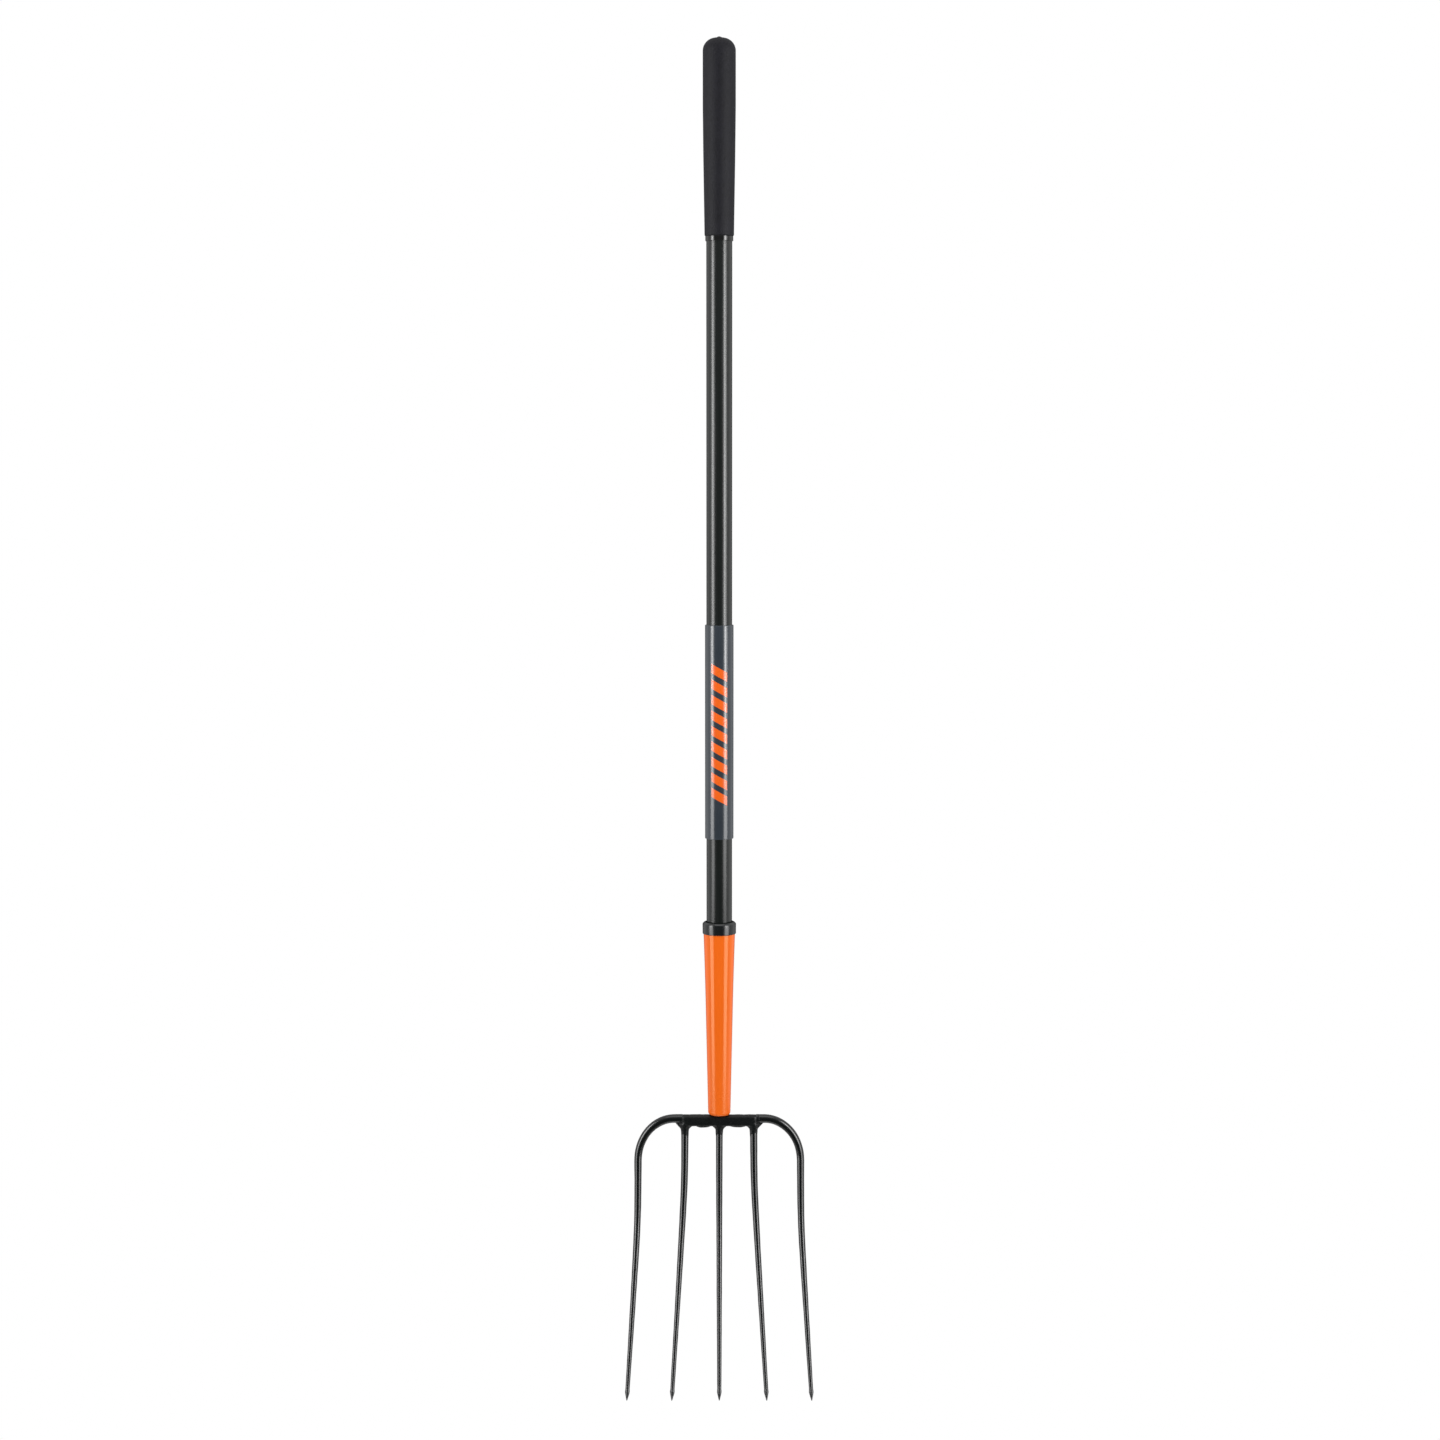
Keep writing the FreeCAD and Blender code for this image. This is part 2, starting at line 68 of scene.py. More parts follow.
Colour = tuple[float, float, float]
Levels = tuple[tuple[float, float], ...]


# ---- Shader writing ----

class Term:
    """A shader value that takes part in ordinary arithmetic by adding Math nodes."""

    def __init__(self, shader: "Shader", socket: bpy.types.NodeSocket) -> None:
        """Wrap one output socket.

        Args:
            shader: The material writer that owns the node.
            socket: The output that carries the value.
        """
        self.shader = shader
        self.socket = socket

    def __add__(self, other: "Term | float") -> "Term":
        """Sum."""
        return self.shader.math("ADD", self, other)

    def __radd__(self, other: float) -> "Term":
        """Sum with a number on the left."""
        return self.shader.math("ADD", other, self)

    def __sub__(self, other: "Term | float") -> "Term":
        """Difference."""
        return self.shader.math("SUBTRACT", self, other)

    def __rsub__(self, other: float) -> "Term":
        """Difference from a number."""
        return self.shader.math("SUBTRACT", other, self)

    def __mul__(self, other: "Term | float") -> "Term":
        """Product."""
        return self.shader.math("MULTIPLY", self, other)

    def __rmul__(self, other: float) -> "Term":
        """Product with a number on the left."""
        return self.shader.math("MULTIPLY", other, self)

    def __truediv__(self, other: "Term | float") -> "Term":
        """Quotient."""
        return self.shader.math("DIVIDE", self, other)

    def __abs__(self) -> "Term":
        """Size without sign."""
        return self.shader.math("ABSOLUTE", self)

    def __neg__(self) -> "Term":
        """Opposite sign."""
        return self.shader.math("MULTIPLY", self, -1.0)

    def part(self) -> "Term":
        """Fractional part."""
        return self.shader.math("FRACT", self)

    def inside(self, half_width: float, softness: float) -> "Term":
        """Mask that is 1 where this value is nearer to zero than half_width.

        Args:
            half_width: Half of the band's width.
            softness: Width over which the edge fades.

        Returns:
            A value from 0 to 1.
        """
        return self.shader.clamped((half_width - abs(self)) / softness + 0.5)


class Shader:
    """Writes the node tree of one material or of the world."""

    def __init__(self, owner: bpy.types.Material | bpy.types.World) -> None:
        """Start an empty tree.

        Args:
            owner: The material or world that the tree belongs to.
        """
        owner.use_nodes = True
        self.owner = owner
        self.tree = owner.node_tree
        self.tree.nodes.clear()

    @classmethod
    def of_material(cls, name: str) -> "Shader":
        """Start a new material."""
        return cls(bpy.data.materials.new(name))

    def node(self, kind: str, settings: dict | None = None,
             sockets: dict | None = None) -> bpy.types.Node:
        """Add any node.

        Args:
            kind: The node's type, without the ShaderNode prefix.
            settings: Properties that are set first; "stops" fills a colour ramp.
            sockets: Values or Terms for inputs, by name or number.

        Returns:
            The new node.
        """
        made = self.tree.nodes.new("ShaderNode" + kind)
        for key, setting in (settings or {}).items():
            if key == "stops":
                self.set_stops(made.color_ramp, setting)
            else:
                setattr(made, key, setting)
        for key, given in (sockets or {}).items():
            if isinstance(given, Term):
                self.tree.links.new(given.socket, made.inputs[key])
            else:
                made.inputs[key].default_value = given
        return made

    @staticmethod
    def set_stops(ramp: bpy.types.ColorRamp, stops: list[tuple[float, float]]) -> None:
        """Fill a ramp with grey stops.

        Args:
            ramp: The ramp, which starts with two stops.
            stops: Place and level of each stop.
        """
        while len(ramp.elements) < len(stops):
            ramp.elements.new(1.0)
        for element, (place, level) in zip(ramp.elements, stops):
            element.position = place
            element.color = (level, level, level, 1.0)

    def term(self, made: bpy.types.Node, output: int | str = 0) -> Term:
        """Wrap one of a node's outputs."""
        return Term(self, made.outputs[output])

    def math(self, operation: str, *values: Term | float) -> Term:
        """Add a Math node and wrap its result."""
        return self.term(self.node("Math", {"operation": operation}, dict(enumerate(values))))

    def clamped(self, term: Term) -> Term:
        """Keep a value between 0 and 1."""
        return self.math("MINIMUM", self.math("MAXIMUM", term, 0.0), 1.0)

    def place(self, output: str = "Object") -> Term:
        """Object coordinates in metres, or the world's direction as "Generated"."""
        return self.term(self.node("TexCoord"), output)

    def axes(self, output: str = "Object") -> tuple[Term, Term, Term]:
        """X, Y and Z of the coordinates."""
        split = self.node("SeparateXYZ", sockets={0: self.place(output)})
        return self.term(split, 0), self.term(split, 1), self.term(split, 2)

    def noise(self, size: float, detail: float = 2.0, stretch: float = 1.0) -> Term:
        """Noise from 0 to 1 with a feature size in metres.

        Args:
            size: Width of a feature.
            detail: Octaves of detail.
            stretch: How many times longer than wide a feature is along the handle.

        Returns:
            The noise value.
        """
        scale = (1.0, 1.0, 1.0 / stretch)
        scaled = self.node("Mapping", {}, {"Vector": self.place(), "Scale": scale})
        texture = self.node("TexNoise", {}, {
            "Vector": self.term(scaled),
            "Scale": 1.0 / size,
            "Detail": detail,
            "Roughness": NOISE_ROUGHNESS})
        return self.term(texture)

    def cells(self, size: float) -> Term:
        """Distance to the nearest cell centre, for pebbled grain of a size in metres."""
        return self.term(self.node("TexVoronoi", {}, {"Vector": self.place(), "Scale": 1.0 / size}))

    def blend(self, factor: Term | float, low: Colour | Term, high: Colour | Term) -> Term:
        """Mix two colours.

        Args:
            factor: 0 gives low and 1 gives high.
            low: First colour.
            high: Second colour.

        Returns:
            The mixed colour.
        """
        low = low if isinstance(low, Term) else (*low, 1.0)
        high = high if isinstance(high, Term) else (*high, 1.0)
        factor_in, low_in, high_in, colour_out = 0, 6, 7, 2
        mixed = self.node("Mix", {"data_type": "RGBA"}, {factor_in: factor, low_in: low, high_in: high})
        return self.term(mixed, colour_out)

    def bump(self, height: Term, depth: float, under: Term | None = None) -> Term:
        """Bump from a height value.

        Args:
            height: Height from 0 to 1.
            depth: Real depth in metres of a height of 1.
            under: An earlier bump to add to.

        Returns:
            The bent normal.
        """
        sockets = {"Height": height, "Distance": depth, "Strength": 1.0}
        if under is not None:
            sockets["Normal"] = under
        return self.term(self.node("Bump", {}, sockets))

    def finish(self, **sockets: Term | float | Colour) -> bpy.types.Material:
        """Add the Principled shader and the output.

        Args:
            **sockets: Principled inputs, with underscores for spaces.

        Returns:
            The finished material.
        """
        given = {}
        for key, entry in sockets.items():
            given[key.replace("_", " ")] = (*entry, 1.0) if isinstance(entry, tuple) else entry
        surface = self.node("BsdfPrincipled", {}, given)
        self.node("OutputMaterial", {}, {"Surface": self.term(surface)})
        return self.owner


# ---- Finishes ----

@dataclass(frozen=True)
class ForgePaint:
    """Satin black paint over drawn steel."""

    name: str = "tine_paint"
    dark: Colour = (0.0010, 0.0014, 0.0014)
    light: Colour = (0.0042, 0.0054, 0.0054)
    dent: float = 9 * MM
    grain: float = 1.3 * MM
    dent_depth: float = 0.030 * MM
    grain_depth: float = 0.009 * MM
    roughness: float = 0.14
    uneven: float = 0.12
    gloss: float = 0.55
    worn: Colour = (0.070, 0.072, 0.074)
    wear_start: float = -288 * MM
    wear_fade: float = 12 * MM
    wear_contrast: float = 3.0

    def build(self) -> bpy.types.Material:
        """Make the material.

        Returns:
            The material.
        """
        shader = Shader.of_material(self.name)
        dents = shader.noise(self.dent, 3.0)
        grain = shader.noise(self.grain, 3.0)
        normal = shader.bump(dents, self.dent_depth)
        normal = shader.bump(self.grain_height(shader, grain), self.grain_depth, normal)
        paint = shader.blend(dents * 0.4 + grain * 0.6, self.dark, self.light)
        return shader.finish(
            Base_Color=shader.blend(self.wear(shader, grain), paint, self.worn),
            Roughness=self.roughness + self.uneven * grain,
            Specular_IOR_Level=self.gloss,
            Normal=normal)

    def grain_height(self, shader: Shader, grain: Term) -> Term:
        """Height of the fine grain, the same everywhere."""
        return grain

    def wear(self, shader: Shader, grain: Term) -> Term:
        """Mask of the scratched paint at the points.

        Args:
            shader: The material writer.
            grain: Noise that breaks up the wear.

        Returns:
            A value from 0 to 1.
        """
        _, _, z = shader.axes()
        down = shader.clamped((self.wear_start - z) / self.wear_fade)
        return shader.clamped(down * (grain * self.wear_contrast - 1.0))


@dataclass(frozen=True)
class ScalePaint(ForgePaint):
    """The same paint over forge scale, which fades out towards the drawn steel."""

    name: str = "scale_paint"
    roughness: float = 0.31
    light: Colour = (0.0046, 0.0058, 0.0058)
    gloss: float = 0.22
    dent_depth: float = 0.12 * MM
    grain_depth: float = 0.26 * MM
    lug_end: float = 14 * MM
    lug_fade: float = 7 * MM
    arm_end: float = 47 * MM
    arm_fade: float = 4 * MM
    left_over: float = 0.08

    def grain_height(self, shader: Shader, grain: Term) -> Term:
        """Height of the scale, fading down the lugs and out along the arms.

        Args:
            shader: The material writer.
            grain: Noise that gives the scale its shape.

        Returns:
            A value from 0 to 1.
        """
        x, _, z = shader.axes()
        down = shader.clamped((z + self.lug_end) / self.lug_fade)
        out = shader.clamped((self.arm_end - abs(x)) / self.arm_fade)
        return grain * (down * out * (1.0 - self.left_over) + self.left_over)


@dataclass(frozen=True)
class Enamel:
    """Gloss stoved enamel on the steel ferrule."""

    name: str = "ferrule_enamel"
    thin: Colour = (0.58, 0.094, 0.0068)
    full: Colour = (0.64, 0.108, 0.0086)
    sheen: Colour = (1.0, 0.80, 0.46)
    cloud: float = 30 * MM
    peel: float = 1.6 * MM
    peel_depth: float = 0.005 * MM
    roughness: float = 0.09
    gloss: float = 0.45
    dull_height: float = 130 * MM

    def build(self) -> bpy.types.Material:
        """Make the material.

        Returns:
            The material.
        """
        shader = Shader.of_material(self.name)
        cloud = shader.noise(self.cloud, 2.0, 3.0)
        peel = shader.noise(self.peel, 1.0)
        _, _, z = shader.axes()
        dull = shader.clamped((self.dull_height - z) / self.dull_height)
        return shader.finish(
            Base_Color=shader.blend(cloud, self.thin, self.full),
            Roughness=self.roughness + 0.06 * peel + 0.20 * dull,
            Specular_IOR_Level=self.gloss,
            Specular_Tint=self.sheen,
            Normal=shader.bump(peel, self.peel_depth))


@dataclass(frozen=True)
class MouldedPlastic:
    """Moulded plastic with a fine satin grain."""

    name: str
    dark: Colour
    light: Colour
    roughness: float
    grain_depth: float = 0.03 * MM
    cloud: float = 8 * MM
    grain: float = 0.5 * MM
    uneven: float = 0.12

    def build(self) -> bpy.types.Material:
        """Make the material.

        Returns:
            The material.
        """
        shader = Shader.of_material(self.name)
        cloud = shader.noise(self.cloud, 2.0)
        grain = shader.noise(self.grain, 2.0)
        return shader.finish(
            Base_Color=shader.blend(cloud, self.dark, self.light),
            Roughness=self.roughness + self.uneven * grain,
            Normal=shader.bump(grain, self.grain_depth))


@dataclass(frozen=True)
class Pultrusion:
    """Gloss black fibreglass tube with the faint long lines of its glass strands."""

    name: str = "pultruded_tube"
    dark: Colour = (0.0035, 0.0046, 0.0042)
    light: Colour = (0.0085, 0.0105, 0.0098)
    strand: float = 0.9 * MM
    strand_stretch: float = 160.0
    strand_depth: float = 0.02 * MM
    wave: float = 14 * MM
    roughness: float = 0.17
    uneven: float = 0.08
    gloss: float = 0.5

    def build(self) -> bpy.types.Material:
        """Make the material.

        Returns:
            The material.
        """
        shader = Shader.of_material(self.name)
        strands = shader.noise(self.strand, 3.0, self.strand_stretch)
        waves = shader.noise(self.wave, 2.0, 6.0)
        return shader.finish(
            Base_Color=shader.blend(strands, self.dark, self.light),
            Roughness=self.roughness + self.uneven * strands + self.uneven * waves,
            Specular_IOR_Level=self.gloss,
            Normal=shader.bump(strands, self.strand_depth))


@dataclass(frozen=True)
class PrintedFilm:
    """Slate film with a printed column of slanted bars."""

    radius: float
    print_middle: float
    name: str = "printed_film"
    slate: Colour = (0.017, 0.022, 0.028)
    slate_light: Colour = (0.028, 0.035, 0.044)
    ink: Colour = (0.60, 0.092, 0.0085)
    half_width: float = 9.2 * MM
    half_height: float = 74 * MM
    slant: float = 0.55
    bars: int = 9
    bar_share: float = 0.60
    softness: float = 0.12 * MM
    cloud: float = 20 * MM
    scuff: float = 1.2 * MM
    relief: float = 0.012 * MM
    roughness: float = 0.18

    def build(self) -> bpy.types.Material:
        """Make the material.

        Returns:
            The material.
        """
        shader = Shader.of_material(self.name)
        cloud = shader.noise(self.cloud, 2.0, 2.0)
        scuff = shader.noise(self.scuff, 3.0, 12.0)
        ink = self._ink(shader)
        base = shader.blend(cloud, self.slate, self.slate_light)
        return shader.finish(
            Base_Color=shader.blend(ink, base, self.ink),
            Roughness=self.roughness + 0.10 * scuff,
            Coat_Weight=0.25,
            Coat_Roughness=0.10,
            Normal=shader.bump(scuff * 0.5 + ink * 0.5, self.relief))

    def _ink(self, shader: Shader) -> Term:
        """Mask of the slanted bars, measured round the sleeve and along it.

        Args:
            shader: The material writer.

        Returns:
            A value from 0 to 1.
        """
        x, y, z = shader.axes()
        across = shader.math("ARCTAN2", x, -y) * self.radius
        rise = z - self.print_middle + across * self.slant
        pitch = 2 * self.half_height / (self.bars - 1 + self.bar_share)
        phase = ((rise + self.half_height) / pitch).part() - self.bar_share / 2
        bars = phase.inside(self.bar_share / 2, self.softness / pitch)
        ends = rise.inside(self.half_height, self.softness)
        return bars * ends * across.inside(self.half_width, self.softness)


@dataclass(frozen=True)
class FoamSkin:
    """Matte bluish black foam with a pebbled skin."""

    name: str = "foam_skin"
    dark: Colour = (0.0006, 0.0006, 0.0012)
    light: Colour = (0.0095, 0.0092, 0.0145)
    pebble: float = 1.1 * MM
    pebble_depth: float = 0.22 * MM
    fine: float = 0.5 * MM
    fine_depth: float = 0.10 * MM
    cloud: float = 22 * MM
    mottle: float = 2.4 * MM
    contrast: float = 2.2
    middle_tone: float = 0.42
    roughness: float = 0.50
    uneven: float = 0.16
    gloss: float = 0.20

    def build(self) -> bpy.types.Material:
        """Make the material.

        Returns:
            The material.
        """
        shader = Shader.of_material(self.name)
        pebbles = shader.cells(self.pebble)
        fine = shader.noise(self.fine, 3.0)
        cloud = shader.noise(self.cloud, 3.0)
        normal = shader.bump(1.0 - pebbles, self.pebble_depth)
        normal = shader.bump(fine, self.fine_depth, normal)
        mottle = shader.noise(self.mottle, 2.0)
        mixed = cloud * 0.25 + mottle * 0.35 + fine * 0.40
        tone = shader.clamped((mixed - 0.5) * self.contrast + self.middle_tone)
        return shader.finish(
            Base_Color=shader.blend(tone, self.dark, self.light),
            Roughness=self.roughness + self.uneven * fine,
            Specular_IOR_Level=self.gloss,
            Normal=normal)


@dataclass(frozen=True)
class PlainSteel:
    """Bare drawn steel."""

    name: str = "plain_steel"
    dark: Colour = (0.30, 0.30, 0.31)
    light: Colour = (0.52, 0.53, 0.54)
    streak: float = 0.6 * MM
    streak_depth: float = 0.02 * MM
    roughness: float = 0.30
    uneven: float = 0.20

    def build(self) -> bpy.types.Material:
        """Make the material.

        Returns:
            The material.
        """
        shader = Shader.of_material(self.name)
        streaks = shader.noise(self.streak, 3.0, 8.0)
        return shader.finish(
            Base_Color=shader.blend(streaks, self.dark, self.light),
            Metallic=1.0,
            Roughness=self.roughness + self.uneven * streaks,
            Normal=shader.bump(streaks, self.streak_depth))


@dataclass(frozen=True)
class TurnedWood:
    """Turned hardwood with long grain."""

    name: str = "turned_wood"
    early: Colour = (0.46, 0.29, 0.14)
    late: Colour = (0.27, 0.15, 0.065)
    figure: float = 5 * MM
    rings: float = 9.0
    pore: float = 0.5 * MM
    pore_depth: float = 0.05 * MM
    roughness: float = 0.55
    uneven: float = 0.15

    def build(self) -> bpy.types.Material:
        """Make the material.

        Returns:
            The material.
        """
        shader = Shader.of_material(self.name)
        rings = (shader.noise(self.figure, 2.0, 30.0) * self.rings).part()
        pores = shader.noise(self.pore, 2.0, 20.0)
        return shader.finish(
            Base_Color=shader.blend(rings * 0.7 + pores * 0.3, self.early, self.late),
            Roughness=self.roughness + self.uneven * pores,
            Normal=shader.bump(pores, self.pore_depth))


# ---- Mesh helpers ----

def mesh_piece(name: str, work: bmesh.types.BMesh, material: bpy.types.Material,
               sharp_degrees: float = 40.0) -> bpy.types.Object:
    """Turn a bmesh into a smooth-shaded object at the origin.

    Args:
        name: The piece's name.
        work: The mesh, which is freed.
        material: The piece's only material.
        sharp_degrees: Edges that turn by more than this stay crisp.

    Returns:
        The new object, linked to the scene.
    """
    mesh = bpy.data.meshes.new(name)
    work.to_mesh(mesh)
    work.free()
    mesh.shade_smooth()
    mesh.set_sharp_from_angle(angle=math.radians(sharp_degrees))
    mesh.materials.append(material)
    piece = bpy.data.objects.new(name, mesh)
    bpy.context.scene.collection.objects.link(piece)
    return piece


def adopt(piece: bpy.types.Object, node: str) -> None:
    """Let a piece stand for a frame node and report it.

    Args:
        piece: The finished piece.
        node: The frame node that it replaces.
    """
    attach(piece, "root")
    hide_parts(node)
    LOG.info("%s: %d faces, stands for %s", piece.name, len(piece.data.polygons), node)


def clean(work: bmesh.types.BMesh, distance: float = 0.001 * MM) -> None:
    """Merge doubled vertices and turn all faces outwards."""
    bmesh.ops.remove_doubles(work, verts=work.verts[:], dist=distance)
    bmesh.ops.recalc_face_normals(work, faces=work.faces[:])


def roughen(work: bmesh.types.BMesh, size: float, depth: float, seed: float) -> None:
    """Move vertices along their normals by smooth noise, as hammering does.

    Args:
        work: The mesh.
        size: Width of a dent.
        depth: Largest movement each way.
        seed: Shifts the pattern, so that pieces differ.
    """
    work.normal_update()
    shift = Vector((seed, seed * 1.7, seed * 0.6))
    for vert in work.verts:
        vert.co += vert.normal * (noise.noise(vert.co / size + shift) * depth)


@dataclass
class Lathe:
    """A turned piece: an outline spun about the handle's axis.

    The outline lists (radius, height) corners. It starts and ends on the axis, or closes on itself.
    """

    name: str
    outline: list[tuple[float, float]]
    rounding: dict[int, float] = field(default_factory=dict)
    steps: int = 128
    round_segments: int = 5

    def build(self, material: bpy.types.Material) -> bpy.types.Object:
        """Spin the outline into a piece with a finish."""
        return mesh_piece(self.name, self.spun(), material)

    def spun(self) -> bmesh.types.BMesh:
        """Spin the outline and round its rims.

        Returns:
            The mesh.
        """
        work = bmesh.new()
        corners = [work.verts.new((radius, 0.0, height)) for radius, height in self.outline]
        for start, end in zip(corners, corners[1:]):
            work.edges.new((start, end))
        if self.outline[0][0] > 0.0:
            work.edges.new((corners[-1], corners[0]))
        bmesh.ops.spin(work, geom=work.verts[:] + work.edges[:], cent=(0, 0, 0), axis=(0, 0, 1),
                       angle=math.tau, steps=self.steps, use_merge=True)
        clean(work)
        for index, offset in self.rounding.items():
            self._round_rim(work, self.outline[index], offset)
        clean(work)
        return work

    def _round_rim(self, work: bmesh.types.BMesh, corner: tuple[float, float], offset: float) -> None:
        """Bevel the rim that one outline corner became.

        Args:
            work: The spun mesh.
            corner: The corner's radius and height.
            offset: The bevel's width.
        """
        radius, height = corner
        slack = 0.002 * MM
        rim = [edge for edge in work.edges
               if all(abs(vert.co.z - height) < slack and abs(vert.co.xy.length - radius) < slack
                      for vert in edge.verts)]
        bmesh.ops.bevel(work, geom=rim, offset=offset, affect="EDGES", segments=self.round_segments,
                        profile=0.5, material=-1)


# ---- Forged head ----

class Side(Enum):
    """Side of the head, as a sign of X."""

    LEFT = -1
    MIDDLE = 0
    RIGHT = 1


@dataclass
class Station:
    """One section of a drawn rod."""

    centre: Vector
    heading: Vector
    radius: float


@dataclass
class Rod:
    """A round rod drawn through stations."""

    name: str
    stations: list[Station]
    seed: float
    film: float = 0.12 * MM
    dent: float = 14 * MM
    dent_depth: float = 0.13 * MM
    ripple: float = 4 * MM
    ripple_depth: float = 0.012 * MM
    ripple_shift: float = 11.0
    segments: int = 32

    def build(self, material: bpy.types.Material) -> bpy.types.Object:
        """Extrude a ring from station to station and hammer it.

        Args:
            material: The rod's finish.

        Returns:
            The new piece.
        """
        work = bmesh.new()
        ring = bmesh.ops.create_circle(work, segments=self.segments, radius=1.0,
                                       cap_ends=True)["verts"]
        last = self._pose(self.stations[0])
        bmesh.ops.transform(work, matrix=last, verts=ring)
        edges = work.edges[:]
        for station in self.stations[1:]:
            grown = bmesh.ops.extrude_edge_only(work, edges=edges)["geom"]
            ring = [item for item in grown if isinstance(item, bmesh.types.BMVert)]
            edges = [item for item in grown if isinstance(item, bmesh.types.BMEdge)]
            following = self._pose(station)
            bmesh.ops.transform(work, matrix=following @ last.inverted(), verts=ring)
            last = following
        bmesh.ops.edgeloop_fill(work, edges=edges)
        clean(work)
        roughen(work, self.dent, self.dent_depth, self.seed)
        roughen(work, self.ripple, self.ripple_depth, self.seed + self.ripple_shift)
        return mesh_piece(self.name, work, material, 60.0)

    def _pose(self, station: Station) -> Matrix:
        """Place a unit ring across the rod's heading, with the film of paint on it.

        Args:
            station: Where the ring goes.

        Returns:
            The ring's matrix.
        """
        down = Vector((0.0, 0.0, -1.0))
        turn = down.rotation_difference(station.heading).to_matrix().to_4x4()
        return Matrix.Translation(station.centre) @ turn @ Matrix.Scale(station.radius + self.film, 4)


@dataclass
class TineLine:
    """Centre line of the tines below the crossbar, as the forge bends them."""

    lean_start: float = 100 * MM
    lean_slope: float = 0.306
    splay_slope: float = 0.062
    softness: float = 34 * MM

    def swing(self, slope: float, start: float, depth: float) -> float:
        """Travel away from straight down.

        Args:
            slope: Travel per unit of depth, past the bend.
            start: Depth of the bend.
            depth: Depth below the crossbar's middle.

        Returns:
            The travel in metres.
        """
        past = depth - start
        rest = math.hypot(start, self.softness) - start
        return slope / 2 * (past + math.hypot(past, self.softness) - rest)

    def point(self, side: Side, across: float, splay_start: float, depth: float) -> Vector:
        """Centre-line point of a tine.

        Args:
            side: Side of the head.
            across: Distance from the axis at the top.
            splay_start: Depth where the tine starts to splay.
            depth: Depth below the crossbar's middle.

        Returns:
            The point.
        """
        sideways = across + self.swing(self.splay_slope, splay_start, depth)
        forwards = self.swing(self.lean_slope, self.lean_start, depth)
        return Vector((side.value * sideways, -forwards, -depth))


# Share of the spear point's length, and the radius there in millimetres.
SPEAR = ((0.10, 2.33), (0.20, 2.47), (0.28, 2.50), (0.36, 2.38), (0.50, 1.95), (0.65, 1.47),
         (0.80, 0.98), (0.92, 0.58), (0.97, 0.40), (1.0, 0.20))

# A lug's cones in millimetres: top and foot heights, then how much wider than the tine each end is.
LUG_CONES = ((-3, -11, 2.4, 0.5), (-7, -19, 0.9, 0.05))

# Ends of the webs beside a lug in millimetres: reach from the lug's middle, then height.
OUTER_WEB = (10.5, 0.9)
INNER_WEB = (7.0, -3.6)
WEB_FOOT = (0.9, -9.5)

# Lumps of forging flash under the bar in millimetres: place along it, then half sizes.
LUMPS = ((-18, (8.5, 4.6, 2.0)), (21, (9.5, 4.6, 1.7)))


